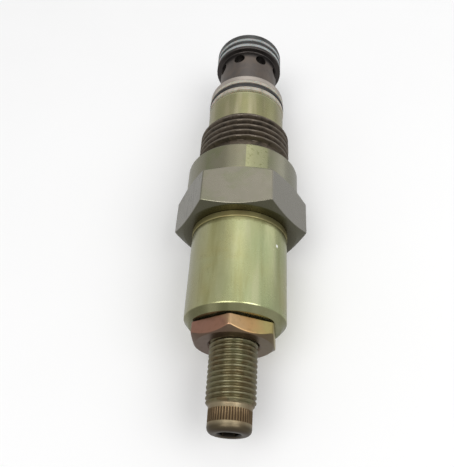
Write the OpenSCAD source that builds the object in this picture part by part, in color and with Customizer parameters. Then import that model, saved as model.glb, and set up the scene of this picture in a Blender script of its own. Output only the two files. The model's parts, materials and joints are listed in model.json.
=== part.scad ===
// Adjustable pilot-operated relief cartridge valve, made of separate pieces on one common axis.
// A station is a distance along that axis from the collar face that seats on the manifold.
// Positive stations lie towards the nose, negative stations towards the adjusting screw.
// All sizes are in millimetres.

/* [Hexagon and collar] */
// Hexagon width across flats
hex_af = 32; // [24:0.5:41]
// Station of the hexagon's end face, on the spring housing side
hex_end = -20.4; // [-26:0.1:-14]
// Station where the hexagon meets the round collar
collar_start = -8.4; // [-10:0.1:-3]
// Collar diameter
collar_d = 31.9; // [26:0.1:32]
// Station where the corner chamfer on the collar side reaches the corners
corner_full = -9.55; // [-13:0.05:-7]
// Radius of the flat circle left on the hexagon's end face
hex_face_r = 15.6; // [13:0.1:16]

/* [Mounting thread and pilot] */
// Mounting thread major diameter
thread_d = 27; // [22:0.5:33]
// Mounting thread pitch
thread_pitch = 2; // [1:0.25:3]
// Depth of the mounting thread grooves
thread_depth = 1.2; // [0.6:0.05:1.6]
// Station of the first thread crest
thread_start = 4.9; // [3:0.1:8]
// Number of grooves in the mounting thread
thread_grooves = 4; // [3:1:8]
// Relief diameter between collar and thread
relief_d = 24.6; // [20:0.1:25]
// Station where the relief ends
relief_end = 4.2; // [2:0.1:6]
// Pilot diameter in front of the thread
pilot_d = 23.4; // [20:0.1:26]
// Station where the pilot starts
pilot_start = 14.9; // [12:0.1:20]
// Station of the body's front face
body_front = 25.3; // [20:0.1:32]

/* [Nose cage] */
// Nose land diameter
nose_d = 21.6; // [16:0.1:24]
// Neck diameter where the side holes are
neck_d = 18.56; // [14:0.02:22]
// Station of the nose face
nose_end = 52.9; // [45:0.05:60]
// Station of the nose flange's near face
flange_start = 45.7; // [40:0.1:50]
// Side hole diameter
side_hole_d = 3.6; // [2:0.1:5]
// Number of side holes
side_holes = 8; // [4:1:12]
// Station of the side holes
side_hole_at = 42.8; // [38:0.1:46]
// Turn of the side hole pattern away from the hexagon flat
side_hole_turn = 29.7; // [0:0.1:45]
// Inlet bore diameter in the nose
inlet_d = 11.2; // [8:0.1:14]
// Piston bore diameter in the cage
piston_bore_d = 13; // [9:0.1:15]
// Station of the main seat edge
seat_at = 46; // [42:0.1:50]

/* [Spring housing] */
// Spring housing diameter
housing_d = 26; // [22:0.1:32]
// Station of the spring housing's outer end face
housing_end = -47.8; // [-60:0.1:-40]
// Length of the chamfer at that end
housing_chamfer = 1.6; // [0.4:0.1:3]
// Bore diameter for the spring and its seat
spring_bore_d = 18; // [14:0.1:20]
// Station of the shoulder that ends the spring bore
spring_bore_end = -41.8; // [-50:0.1:-38]
// Diameter of the ring between hexagon and spring housing
washer_d = 26.4; // [22:0.1:32]
// Thickness of that ring
washer_t = 1.8; // [0.5:0.1:4]

/* [Adjusting screw and lock nut] */
// Adjusting screw thread major diameter
screw_d = 12; // [8:0.5:16]
// Adjusting screw thread pitch
screw_pitch = 1.25; // [0.75:0.25:2]
// Number of thread grooves on the screw
screw_grooves = 21; // [12:1:28]
// Diameter of the screw's plain end
screw_end_d = 10.4; // [7:0.1:12]
// Station of the screw's outer tip
screw_tip = -73; // [-85:0.1:-66]
// Socket width across flats
socket_af = 5; // [3:0.5:8]
// Socket depth
socket_depth = 6; // [3:0.5:9]
// Number of knurl teeth
knurl_teeth = 48; // [24:2:72]
// Lock nut width across flats
nut_af = 20; // [16:0.5:24]
// Lock nut thickness
nut_t = 4; // [3:0.1:8]
// Turn of the lock nut away from corner up
nut_turn = -1.7; // [-30:0.1:30]

/* [Springs] */
// Pilot spring mean radius
pilot_spring_r = 6; // [4:0.1:7]
// Pilot spring wire diameter
pilot_wire_d = 2.4; // [1.5:0.1:3]
// Turns in the pilot spring
pilot_turns = 6; // [4:0.5:10]
// Main spring mean radius
main_spring_r = 3.8; // [3:0.1:4.5]
// Main spring wire diameter
main_wire_d = 1; // [0.5:0.1:1.2]
// Turns in the main spring
main_turns = 9; // [5:0.5:14]

/* [Hidden] */
$fn = 96;
// clearance between sliding or screwed pieces, measured on the radius
fit = 0.05;
// smallest air gap left between faces of pieces that move apart
gap = 0.02;
// share of a thread pitch that is left as a flat crest
crest_share = 0.25;
// Axial drop of the hexagon's end chamfer for each millimetre of radius.
hex_chamfer_slope = 0.46;
// station of the middle of the mounting thread, which becomes the origin of the finished part
thread_middle = thread_start + (thread_grooves + crest_share) * thread_pitch / 2;
thread_r = thread_d / 2;
thread_last = thread_start + (thread_grooves + crest_share) * thread_pitch;
pilot_r = pilot_d / 2;
collar_r = collar_d / 2;
corner_r = hex_af / 2 / cos(30);
nose_r = nose_d / 2;
neck_r = neck_d / 2;
inlet_r = inlet_d / 2;
bore_r = piston_bore_d / 2;
housing_r = housing_d / 2;
spring_bore_r = spring_bore_d / 2;
screw_r = screw_d / 2;
end_r = screw_end_d / 2;
nut_corner_r = nut_af / 2 / cos(30);
// inner chambers of the body
chamber_r = 5;
recess_r = 8.8;
recess_start = 6.5;
shoulder_at = 8.5;
cage_socket_r = 9.5;
housing_socket_r = 10.5;
housing_socket_end = -8;
mouth_r = 12.3;
mouth_depth = 1.75;
// drain holes that join the pilot chamber to two of the side holes
drain_r = 0.6;
drain_at_r = 7.65;
// the cage's back face rests on the pilot seat's flange
cage_back = 12;
// seal grooves of the cage
body_groove_end = 29.6;
body_groove_r = 10.15;
cage_land_end = 31.4;
cage_bevel_end = 33.3;
nose_groove_start = 46.8;
nose_groove_end = 50.6;
nose_groove_r = 9.2;
// main piston
piston_r = bore_r - 0.03;
piston_back = 23;
piston_floor = 41;
piston_inner_r = 4.6;
plug_r = 2;
orifice_r = 0.5;
// pilot stage
seat_face = 5.5;
seat_hole_r = 1.4;
spigot_end = 18;
spigot_r = bore_r - 0.15;
stem_r = 2.4;
guide_face = -8.6;
guide_t = 2;
// spring seat
seat_front = -30.5;
seat_back = -36.35;
// adjusting screw
screw_lead = -66.1;
screw_inner = -36.4;
stop_groove_start = -38.45;
stop_groove_end = -37.15;
nut_face = housing_end - 0.4;

// Lays the valve's axis along +Y, with the middle of the mounting thread at the origin.
module place() {
    translate([0, -thread_middle, 0])
        rotate([-90, 0, 0])
            children();
}

// Repeats a shape evenly round the axis, the first copy turned by the given angle.
module around(count, first) {
    for (i = [0 : count - 1])
        rotate([0, 0, first + i * 360 / count])
            children();
}

// Outline of a grooved thread: flat crests of radius r with V grooves between them.
function groove_points(r, depth, pitch, grooves, start) = concat(
    [for (i = [0 : grooves - 1], k = [0 : 2])
        let (z = start + i * pitch)
        k == 0 ? [r, z]
        : k == 1 ? [r, z + crest_share * pitch]
        : [r - depth, z + (1 + crest_share) / 2 * pitch]],
    [[r, start + grooves * pitch], [r, start + (grooves + crest_share) * pitch]]
);

// Flat ring between two radii and two stations.
module ring(inner, outer, low, high) {
    rotate_extrude()
        translate([inner, low])
            square([outer - inner, high - low]);
}

// Round-section seal ring.
module o_ring(middle_r, section_r, at) {
    rotate_extrude()
        translate([middle_r, at])
            circle(r = section_r, $fn = 32);
}

// Flat plastic ring with a slanted split, so that it can be sprung into its groove.
module split_ring(inner, outer, low, high, angle) {
    difference() {
        ring(inner, outer, low, high);
        rotate([0, 0, angle])
            translate([(inner + outer) / 2, 0, (low + high) / 2])
                rotate([50, 0, 0])
                    cube([(outer - inner) * 2, 0.12, (high - low) * 4], center = true);
    }
}

// Hexagon prism with its corners turned off by a chamfer at each end.
module chamfered_hexagon(af, low, high, low_r, low_rise, high_r, high_drop) {
    corner = af / 2 / cos(30);
    intersection() {
        translate([0, 0, low])
            cylinder(r = corner, h = high - low, $fn = 6);
        rotate_extrude()
            polygon([
                [0, low], [low_r, low], [corner + 0.01, low + low_rise],
                [corner + 0.01, high - high_drop], [high_r, high], [0, high]
            ]);
    }
}

// Coil of round wire with flat ends, standing on station low.
module coil(mean_r, wire_r, low, high, turns, sides, steps) {
    pitch = (high - low) / turns;
    translate([0, 0, low])
        linear_extrude(height = high - low, twist = -360 * turns, slices = turns * steps, $fn = sides)
            polygon([
                for (i = [0 : sides - 1])
                    let (
                        a = i * 360 / sides,
                        turn = wire_r * sin(a) / pitch * 360,
                        r = mean_r + wire_r * cos(a)
                    )
                    [r * cos(turn), r * sin(turn)]
            ]);
}

// Two small drain holes, in line with two opposite side holes.
module drain_holes(low, high) {
    around(2, side_hole_turn - 90)
        translate([drain_at_r, 0, low])
            cylinder(r = drain_r, h = high - low);
}

// Body: hexagon, collar, mounting thread and pilot in one turned piece.
module hex_body() {
    color([0.62, 0.61, 0.43])
        place()
            difference() {
                union() {
                    chamfered_hexagon(hex_af, hex_end, collar_start, hex_face_r,
                        (corner_r - hex_face_r) * hex_chamfer_slope, collar_r, collar_start - corner_full);
                    rotate_extrude()
                        polygon(concat(
                            [[0, collar_start - 1], [collar_r, collar_start - 1], [collar_r, -0.4],
                             [collar_r - 0.4, 0], [relief_d / 2, 0], [relief_d / 2, relief_end]],
                            groove_points(thread_r, thread_depth, thread_pitch, thread_grooves,
                                thread_start),
                            [[thread_r - 1.4, pilot_start], [pilot_r, pilot_start],
                             [pilot_r, body_front - 1.1], [pilot_r - 0.6, body_front],
                             [0, body_front]]
                        ));
                }
                // stepped bore, from the spring housing side to the cage side
                rotate_extrude()
                    polygon([
                        [0, hex_end - 1], [mouth_r, hex_end - 1], [mouth_r, hex_end + mouth_depth],
                        [housing_socket_r, hex_end + mouth_depth],
                        [housing_socket_r, housing_socket_end], [chamber_r, housing_socket_end],
                        [chamber_r, recess_start], [recess_r, recess_start],
                        [recess_r, shoulder_at], [cage_socket_r, shoulder_at],
                        [cage_socket_r, body_front + 1], [0, body_front + 1]
                    ]);
            }
}

// Cage: screwed shank, seal grooves, neck with side holes, and the nose with the main seat.
module nose_cage() {
    color([0.30, 0.28, 0.26])
        place()
            difference() {
                rotate_extrude()
                    polygon(concat(
                        [[bore_r, cage_back], [cage_socket_r - 1, cage_back]],
                        groove_points(cage_socket_r - fit, 0.6, 1, 11, cage_back + 0.6),
                        [[cage_socket_r - 0.6, body_front - 1.2], [cage_socket_r - 0.6, body_front],
                         [body_groove_r, body_front], [body_groove_r, body_groove_end],
                         [pilot_r, body_groove_end], [pilot_r, cage_land_end],
                         [neck_r, cage_bevel_end], [neck_r, flange_start - 0.4],
                         [neck_r + 0.4, flange_start], [nose_r - 0.2, flange_start],
                         [nose_r, flange_start + 0.2], [nose_r, nose_groove_start],
                         [nose_groove_r, nose_groove_start], [nose_groove_r, nose_groove_end],
                         [nose_r, nose_groove_end], [nose_r, nose_end - 0.5],
                         [nose_r - 0.5, nose_end], [inlet_r + 0.8, nose_end],
                         [inlet_r, nose_end - 0.8], [inlet_r, seat_at], [bore_r, seat_at]]
                    ));
                around(side_holes, side_hole_turn - 90)
                    translate([bore_r - 1, 0, side_hole_at])
                        rotate([0, 90, 0])
                            cylinder(d = side_hole_d, h = neck_r);
                drain_holes(cage_back - 1, side_hole_at);
            }
}

// Nose seal set.
module nose_oring() {
    color([0.06, 0.06, 0.06])
        place()
            o_ring(nose_groove_r + 0.83, 0.8, 48.8);
}

module nose_backup_front() {
    color([0.85, 0.85, 0.82])
        place()
            split_ring(nose_groove_r + gap, nose_r - 0.02, 49.63, nose_groove_end - gap, 110);
}

module nose_backup_rear() {
    color([0.85, 0.85, 0.82])
        place()
            split_ring(nose_groove_r + gap, nose_r - 0.02, nose_groove_start + gap, 47.97, 200);
}

// Seal set behind the side holes.
module body_oring() {
    color([0.06, 0.06, 0.06])
        place()
            o_ring(body_groove_r + 0.92, 0.89, 27.5);
}

module body_backup_front() {
    color([0.85, 0.85, 0.82])
        place()
            split_ring(body_groove_r + gap, pilot_r + 0.12, 28.42, body_groove_end - gap, 80);
}

module body_backup_rear() {
    color([0.85, 0.85, 0.82])
        place()
            split_ring(body_groove_r + gap, pilot_r + 0.12, body_front + gap, 26.58, 160);
}

// Pilot seat: flange clamped behind the cage, spigot in the cage bore, small seat hole.
module pilot_seat() {
    color([0.55, 0.55, 0.56])
        place()
            difference() {
                rotate_extrude()
                    polygon([
                        [seat_hole_r, seat_face], [chamber_r - 1.2, seat_face],
                        [chamber_r - 0.5, seat_face + 0.7], [chamber_r - 0.5, shoulder_at],
                        [cage_socket_r - 0.2, shoulder_at], [cage_socket_r - 0.2, cage_back],
                        [spigot_r, cage_back], [spigot_r, 14], [5.02, 14], [5.02, 15.8],
                        [spigot_r, 15.8], [spigot_r, spigot_end - 0.4],
                        [spigot_r - 0.4, spigot_end], [3.1, spigot_end], [3.1, spigot_end + 1.6],
                        [2.7, spigot_end + 2], [seat_hole_r, spigot_end + 2]
                    ]);
                drain_holes(shoulder_at - 1, cage_back + 1);
            }
}

module pilot_seat_oring() {
    color([0.06, 0.06, 0.06])
        place()
            o_ring(5.75, 0.7, 14.9);
}

// Main piston: a cup with a conical front that closes on the seat edge of the cage.
module main_piston() {
    color([0.48, 0.48, 0.49])
        place()
            difference() {
                rotate_extrude()
                    polygon([
                        [plug_r, piston_floor], [piston_inner_r, piston_floor],
                        [piston_inner_r, piston_back + 0.4], [piston_inner_r + 0.4, piston_back],
                        [piston_r - 0.4, piston_back], [piston_r, piston_back + 0.4],
                        [piston_r, seat_at - 0.05 - (piston_r - inlet_r)],
                        [inlet_r - 0.8, seat_at + 0.75], [plug_r, seat_at + 0.75]
                    ]);
                // shallow grooves that centre the piston in its bore
                for (i = [0 : 2])
                    ring(piston_r - 0.3, piston_r + 1, 27 + i * 4, 27.5 + i * 4);
            }
}

// Screw-in plug with the control orifice.
module orifice_plug() {
    color([0.72, 0.60, 0.32])
        place()
            difference() {
                ring(orifice_r, plug_r - 0.02, piston_floor + 0.5, seat_at - 0.5);
                translate([-3, -0.3, seat_at - 1.3])
                    cube([6, 0.6, 1]);
            }
}

module main_spring() {
    color([0.42, 0.42, 0.44])
        place()
            coil(main_spring_r, main_wire_d / 2, spigot_end + gap, piston_floor - gap, main_turns, 12, 16);
}

// Pilot poppet: cone on a stem, with a three-flat guide collar that lets oil past.
module pilot_poppet() {
    color([0.55, 0.55, 0.56])
        place()
            union() {
                rotate_extrude()
                    polygon([
                        [0, guide_face - 2.5], [stem_r - 0.3, guide_face - 2.5],
                        [stem_r, guide_face - 2.2],
                        [stem_r, seat_face - (stem_r - seat_hole_r + 0.05) / tan(30)],
                        [0.3, seat_face + (seat_hole_r - 0.05 - 0.3) / tan(30)],
                        [0, seat_face + (seat_hole_r - 0.05 - 0.3) / tan(30)]
                    ]);
                translate([0, 0, -3])
                    intersection() {
                        cylinder(r = chamber_r - 0.06, h = 4);
                        cylinder(r = 7.4, h = 4, $fn = 3);
                    }
            }
}

// Flanged guide that carries the inner end of the pilot spring.
module poppet_spring_guide() {
    color([0.50, 0.50, 0.51])
        place()
            difference() {
                rotate_extrude()
                    polygon([
                        [0, guide_face], [7.6, guide_face], [7.6, guide_face - guide_t],
                        [4.3, guide_face - guide_t], [4.3, guide_face - guide_t - 2.6],
                        [3.9, guide_face - guide_t - 3], [0, guide_face - guide_t - 3]
                    ]);
                translate([0, 0, guide_face - 2.6])
                    cylinder(r = stem_r + fit, h = 4);
            }
}

module pilot_spring() {
    color([0.42, 0.42, 0.44])
        place()
            coil(pilot_spring_r, pilot_wire_d / 2, seat_front + gap, guide_face - guide_t - gap,
                pilot_turns, 20, 20);
}

// Spring housing: screwed spigot, round barrel, and the threaded end for the adjusting screw.
module spring_housing() {
    washer_face = hex_end - washer_t;
    color([0.64, 0.64, 0.45])
        place()
            rotate_extrude()
                polygon(concat(
                    [[spring_bore_r, housing_socket_end - 1],
                     [spring_bore_r, spring_bore_end], [screw_r + fit, spring_bore_end],
                     [screw_r + fit, housing_end + 0.5], [screw_r + 0.5, housing_end],
                     [housing_r - housing_chamfer * 0.88, housing_end],
                     [housing_r, housing_end + housing_chamfer], [housing_r, washer_face - 0.3],
                     [housing_r - 0.3, washer_face], [housing_socket_r - 0.1, washer_face],
                     [housing_socket_r - 0.1, -17.8]],
                    groove_points(housing_socket_r - fit, 0.6, 1, 7, -17.3),
                    [[housing_socket_r - 0.6, housing_socket_end - 1]]
                ));
}

// Flat ring between the hexagon's end face and the spring housing.
module housing_washer() {
    color([0.40, 0.38, 0.26])
        place()
            rotate_extrude()
                polygon([
                    [housing_socket_r, hex_end], [housing_socket_r, hex_end - washer_t],
                    [washer_d / 2 - 0.5, hex_end - washer_t],
                    [washer_d / 2, hex_end - washer_t + 0.5], [washer_d / 2, hex_end - 0.3],
                    [washer_d / 2 - 0.3, hex_end]
                ]);
}

module housing_oring() {
    color([0.06, 0.06, 0.06])
        place()
            o_ring(11.4, 0.84, hex_end + mouth_depth / 2);
}

// Sealed piston that the adjusting screw pushes against the pilot spring.
module spring_seat() {
    color([0.50, 0.50, 0.51])
        place()
            rotate_extrude()
                polygon([
                    [0, seat_back + 0.6], [2, seat_back], [8.55, seat_back],
                    [spring_bore_r - fit, seat_back + 0.4], [spring_bore_r - fit, -35.2],
                    [7.1, -35.2], [7.1, -32], [spring_bore_r - fit, -32],
                    [spring_bore_r - fit, seat_front - 0.4], [8.55, seat_front],
                    [4.3, seat_front], [4.3, seat_front + 2.6], [3.9, seat_front + 3],
                    [0, seat_front + 3]
                ]);
}

module seat_oring() {
    color([0.06, 0.06, 0.06])
        place()
            o_ring(8.04, 0.89, -33.1);
}

module seat_backup_ring() {
    color([0.85, 0.85, 0.82])
        place()
            split_ring(7.12, 8.93, -35.18, -34.05, 30);
}

// Adjusting screw: knurled plain end with a hexagon socket, fine thread, and a ring groove inside.
module adjusting_screw() {
    rim = 1.4;
    knurl_low = screw_tip + 2.2;
    knurl_high = screw_tip + 5.2;
    color([0.42, 0.40, 0.28])
        place()
            difference() {
                union() {
                    rotate_extrude()
                        polygon(concat(
                            [[0, screw_tip]],
                            [for (a = [0 : 22.5 : 90])
                                [end_r - rim + rim * sin(a), screw_tip + rim - rim * cos(a)]],
                            [[end_r, knurl_low], [end_r - 0.3, knurl_low],
                             [end_r - 0.3, knurl_high], [end_r, knurl_high],
                             [end_r, screw_lead - 0.8], [screw_r, screw_lead]],
                            groove_points(screw_r, 0.72, screw_pitch, screw_grooves, screw_lead),
                            [[screw_r - 0.7, stop_groove_start - 0.6],
                             [screw_r - 0.1, stop_groove_start - 0.4],
                             [screw_r - 0.1, stop_groove_start], [screw_r - 1.1, stop_groove_start],
                             [screw_r - 1.1, stop_groove_end], [screw_r - 0.1, stop_groove_end],
                             [screw_r - 0.5, screw_inner - 0.2], [2.4, screw_inner],
                             [0, screw_inner]]
                        ));
                    // straight knurl
                    translate([0, 0, knurl_low - 0.1])
                        linear_extrude(height = knurl_high - knurl_low + 0.2)
                            polygon([
                                for (i = [0 : 2 * knurl_teeth - 1])
                                    let (
                                        a = i * 180 / knurl_teeth,
                                        r = i % 2 == 0 ? end_r - 0.03 : end_r - 0.24
                                    )
                                    [r * cos(a), r * sin(a)]
                            ]);
                }
                translate([0, 0, screw_tip - 1])
                    cylinder(r = socket_af / 2 / cos(30), h = socket_depth + 1, $fn = 6);
                // round countersink at the socket's mouth
                rotate_extrude()
                    polygon([
                        [0, screw_tip - 0.5], [3.4, screw_tip - 0.5], [3.4, screw_tip],
                        [socket_af / 2, screw_tip + 0.5], [0, screw_tip + 0.5]
                    ]);
            }
}

// Open spring clip in the screw's inner groove.
module adjuster_stop_ring() {
    color([0.35, 0.35, 0.36])
        place()
            difference() {
                ring(screw_r - 1.05, 7.6, stop_groove_start + 0.05, stop_groove_end - 0.05);
                rotate([0, 0, -90])
                    translate([0, -2.2, stop_groove_start - 1])
                        cube([9, 4.4, 4]);
            }
}

// Thin seal under the lock nut.
module nut_seal_ring() {
    color([0.10, 0.10, 0.10])
        place()
            ring(screw_r + fit, 8.4, nut_face + gap, housing_end - gap);
}

// Thin lock nut.
module jam_nut() {
    face_r = nut_af / 2 - 0.4;
    rise = (nut_corner_r - face_r) * tan(30);
    color([0.66, 0.52, 0.34])
        place()
            difference() {
                rotate([0, 0, 30 + nut_turn])
                    chamfered_hexagon(nut_af, nut_face - nut_t, nut_face, face_r, rise, face_r, rise);
                // plain threaded bore with a countersink at each face
                rotate_extrude()
                    polygon([
                        [0, nut_face - nut_t - 1], [screw_r + 0.5, nut_face - nut_t - 1],
                        [screw_r + 0.5, nut_face - nut_t], [screw_r + fit, nut_face - nut_t + 0.45],
                        [screw_r + fit, nut_face - 0.45], [screw_r + 0.5, nut_face],
                        [screw_r + 0.5, nut_face + 1], [0, nut_face + 1]
                    ]);
            }
}

hex_body();
nose_cage();
nose_oring();
nose_backup_front();
nose_backup_rear();
body_oring();
body_backup_front();
body_backup_rear();
pilot_seat();
pilot_seat_oring();
main_piston();
orifice_plug();
main_spring();
pilot_poppet();
poppet_spring_guide();
pilot_spring();
spring_housing();
housing_washer();
housing_oring();
spring_seat();
seat_oring();
seat_backup_ring();
adjusting_screw();
adjuster_stop_ring();
nut_seal_ring();
jam_nut();
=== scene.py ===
"""Visual model of an adjustable relief cartridge valve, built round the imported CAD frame.

The valve lies along +Y with its nose at +Y, as in the CAD. A station is a distance in millimetres
along that axis from the collar face, and an angle is measured round it from +Z towards +X. Every
turned piece is a skin over rings of points, so threads are true helices and edges are really rounded.
"""

import json
import math

import bmesh
import bpy
from mathutils import Matrix, Vector


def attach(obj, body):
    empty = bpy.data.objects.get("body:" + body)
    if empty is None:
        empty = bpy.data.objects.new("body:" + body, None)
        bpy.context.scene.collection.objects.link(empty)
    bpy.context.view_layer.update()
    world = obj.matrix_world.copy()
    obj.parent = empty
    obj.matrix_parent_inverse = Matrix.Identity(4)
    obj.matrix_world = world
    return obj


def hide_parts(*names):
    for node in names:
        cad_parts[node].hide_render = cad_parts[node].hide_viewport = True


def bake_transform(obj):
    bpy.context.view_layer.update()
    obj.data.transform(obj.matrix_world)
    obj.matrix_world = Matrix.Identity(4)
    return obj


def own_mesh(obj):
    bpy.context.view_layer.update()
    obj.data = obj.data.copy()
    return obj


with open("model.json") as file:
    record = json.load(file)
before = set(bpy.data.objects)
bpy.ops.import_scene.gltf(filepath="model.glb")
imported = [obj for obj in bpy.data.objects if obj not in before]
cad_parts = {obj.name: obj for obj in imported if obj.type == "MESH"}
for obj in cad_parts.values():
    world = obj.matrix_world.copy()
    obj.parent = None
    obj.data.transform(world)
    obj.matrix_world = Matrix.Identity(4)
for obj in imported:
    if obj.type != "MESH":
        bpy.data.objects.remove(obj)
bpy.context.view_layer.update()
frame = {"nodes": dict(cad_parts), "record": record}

# ---------------------------------------------------------------- sizes, in millimetres and degrees

MM = 0.001
THREAD_MIDDLE = 9.15  # station of the frame's origin

HEX_FLAT = 16.0  # centre to flat
HEX_END = -20.4
HEX_FACE_R = 15.6
HEX_ROUNDING = 0.6
HEX_SLOPE = 0.46  # axial drop of the hexagon's chamfers for each millimetre of radius
COLLAR_START = -8.4
COLLAR_R = 15.95
RELIEF_R = 12.3
RELIEF_END = 4.2
THREAD_R = 13.5
THREAD_PITCH = 2.0
THREAD_DEPTH = 1.2
THREAD_PHASE = 5.15  # middle of a crest at angle 0
THREAD_LAST = 13.4
RUN_IN_SLOPE = 1.9  # radius gained for each millimetre, from the relief to the first crest
RUN_OUT_SLOPE = 0.9  # radius lost for each millimetre after the last crest
PILOT_START = 14.9
PILOT_R = 11.7
BODY_FRONT = 25.3
MOUTH_R = 12.3
MOUTH_DEPTH = 1.75
HOUSING_SOCKET_R = 10.5
HOUSING_SOCKET_END = -8.0
CHAMBER_R = 5.0
RECESS_R = 8.8
RECESS_START = 6.5
SHOULDER = 8.5
CAGE_SOCKET_R = 9.5

CAGE_BACK = 12.0
BODY_GROOVE_R = 10.15
BODY_GROOVE_END = 29.6
CAGE_LAND_END = 31.4
CAGE_BEVEL_END = 33.3
NECK_R = 9.28
FLANGE_START = 45.7
NOSE_R = 10.8
NOSE_GROOVE_START = 46.8
NOSE_GROOVE_END = 50.6
NOSE_GROOVE_R = 9.2
NOSE_END = 52.9
NOSE_GUARD_R = NOSE_R - 0.03
NOSE_GUARD_REAR = (46.82, 47.97)
NOSE_GUARD_FRONT = (49.63, 50.58)
NOSE_SEAL_AT = 48.8
NOSE_SEAL_SECTION_R = 0.80
BODY_GUARD_R = PILOT_R + 0.12
BODY_GUARD_REAR = (25.32, 26.58)
BODY_GUARD_FRONT = (28.42, 29.58)
BODY_SEAL_AT = 27.5
BODY_SEAL_SECTION_R = 0.89
SEAL_GAP = 0.03  # from a seal's full round section to the floor of its groove
INLET_R = 5.6
SEAT_AT = 46.0
CAGE_BORE_R = 6.5
SIDE_HOLE_R = 1.8
SIDE_HOLE_AT = 42.8
SIDE_HOLE_TURN = 29.7
SIDE_HOLES = 8

WASHER_R = 13.2
WASHER_T = 1.8
HOUSING_R = 13.0
HOUSING_END = -47.8
HOUSING_CHAMFER = 1.6
SPRING_BORE_R = 9.0
SPRING_BORE_END = -41.8

SCREW_R = 6.0
SCREW_PITCH = 1.25
SCREW_DEPTH = 0.5
SCREW_LEAD = -66.1
SCREW_THREAD_END = -39.54
SCREW_END_R = 5.2
SCREW_TIP = -73.0
SCREW_INNER = -36.4
SCREW_END_ROUNDING = 1.4
SOCKET_FLAT = 2.5
SOCKET_DEPTH = 6.0
SOCKET_ROUNDING = 0.12
SOCKET_TURN = 8.0
KNURL_LOW = -70.8
KNURL_HIGH = -67.8
KNURL_TEETH = 48
KNURL_TOOTH = (0.0, 0.05, 0.2, 0.2, 0.05)  # depths at even steps across one tooth
STOP_GROOVE = (-38.45, -37.15)
CLEARANCE = 0.05

NUT_FLAT = 10.0
NUT_FACE = -48.2
NUT_T = 4.0
NUT_TURN = -1.7
NUT_ROUNDING = 1.1

PISTON_R = 6.47
PISTON_BACK = 23.0
PISTON_FLOOR = 41.0
PISTON_INNER_R = 4.6
PISTON_GROOVES = (27.0, 31.0, 35.0)
PISTON_GROOVE_WIDTH = 0.5
PISTON_GROOVE_DEPTH = 0.3
PLUG_R = 2.0
PLUG_SLOT_HALVES = (3.0, 0.3)  # half its length and half its width
PLUG_SLOT_DEPTH = 0.7

MAIN_SPRING_R = 3.8
MAIN_WIRE_R = 0.5
MAIN_SPRING_LOW = 18.02
MAIN_SPRING_HIGH = 40.98
MAIN_SPRING_TURNS = 9
PILOT_SPRING_R = 6.0
PILOT_WIRE_R = 1.2
PILOT_SPRING_LOW = -30.48
PILOT_SPRING_HIGH = -10.62
PILOT_SPRING_TURNS = 6
SPRING_END = 0.4  # from a ground end to the wire's middle where the coil begins, in wire radii
SPRING_END_RISE = 2.04  # rise of the closed end turn, in wire radii

CAMERA_FROM_TIP = (0.0115, -0.0248, 0.1238)  # metres from the adjusting screw's end
CAMERA_FORWARD = (-0.1025, 0.5325, -0.8402)
CAMERA_UP = (-0.0048, 0.8444, 0.5357)
CAMERA_LENS = 40.67

# ---------------------------------------------------------------- mesh building


def at(radius, station, angle):
    """Point in the row frame, in metres."""
    a = math.radians(angle)
    return (
        radius * MM * math.sin(a),
        (station - THREAD_MIDDLE) * MM,
        radius * MM * math.cos(a),
    )


def even_angles(count):
    return [360.0 * i / count for i in range(count)]


def eased(outline, rounding, loop, steps=3):
    """The outline of (radius, station) points with every corner rounded.

    A third number in a point is its own rounding.
    """
    out = []
    last = len(outline) - 1
    for i, corner in enumerate(outline):
        p = Vector(corner[:2])
        if not loop and i in (0, last):
            out.append(tuple(p))
            continue
        before = Vector(outline[i - 1][:2]) - p
        after = Vector(outline[(i + 1) % (last + 1)][:2]) - p
        wanted = corner[2] if len(corner) > 2 else rounding
        cut = min(wanted, 0.45 * before.length, 0.45 * after.length)
        start = p + before.normalized() * cut
        end = p + after.normalized() * cut
        for k in range(steps + 1):
            t = k / steps
            q = start * (1 - t) ** 2 + p * (2 * t * (1 - t)) + end * t**2
            out.append(tuple(q))
    return out


def spread(low, high, step):
    """Evenly spaced stations between two others, both left out."""
    count = max(1, round(abs(high - low) / step))
    return [low + (high - low) * i / count for i in range(1, count)]


def skin(name, rings, loop=True):
    """A mesh over rings of points.

    Neighbouring rings have the same number of points, or one a whole multiple of the other's.
    """
    points, faces, starts = [], [], []
    for ring in rings:
        starts.append(len(points))
        points.extend(ring)
    pairs = [(i, i + 1) for i in range(len(rings) - 1)]
    if loop:
        pairs.append((len(rings) - 1, 0))
    for a, b in pairs:
        na, nb = len(rings[a]), len(rings[b])
        sa, sb = starts[a], starts[b]
        if na < nb:
            na, nb, sa, sb = nb, na, sb, sa
        share = na // nb
        for j in range(nb if nb > 1 else na):
            if nb == 1:
                faces.append((sa + j, sa + (j + 1) % na, sb))
                continue
            fine = [sa + (share * j + i) % na for i in range(share + 1)]
            faces.append(tuple(fine + [sb + (j + 1) % nb, sb + j]))
    return mesh_object(name, points, faces)


def mesh_object(name, points, faces):
    mesh = bpy.data.meshes.new(name)
    mesh.from_pydata(points, [], faces)
    outward(mesh)
    obj = bpy.data.objects.new(name, mesh)
    bpy.context.scene.collection.objects.link(obj)
    return obj


def outward(mesh):
    """Turns every face outwards and drops slivers."""
    bm = bmesh.new()
    bm.from_mesh(mesh)
    touching = 1e-7
    bmesh.ops.remove_doubles(bm, verts=bm.verts, dist=touching)
    bmesh.ops.dissolve_degenerate(bm, edges=bm.edges, dist=touching)
    bmesh.ops.recalc_face_normals(bm, faces=bm.faces)
    bm.to_mesh(mesh)
    bm.free()


def loft(name, outline_at, angles):
    """A skin whose closed outline of (radius, station) points may change with the angle."""
    outlines = [outline_at(a) for a in angles]
    rings = [
        [at(*outline[i], a) for outline, a in zip(outlines, angles)]
        for i in range(len(outlines[0]))
    ]
    return skin(name, rings)


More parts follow.
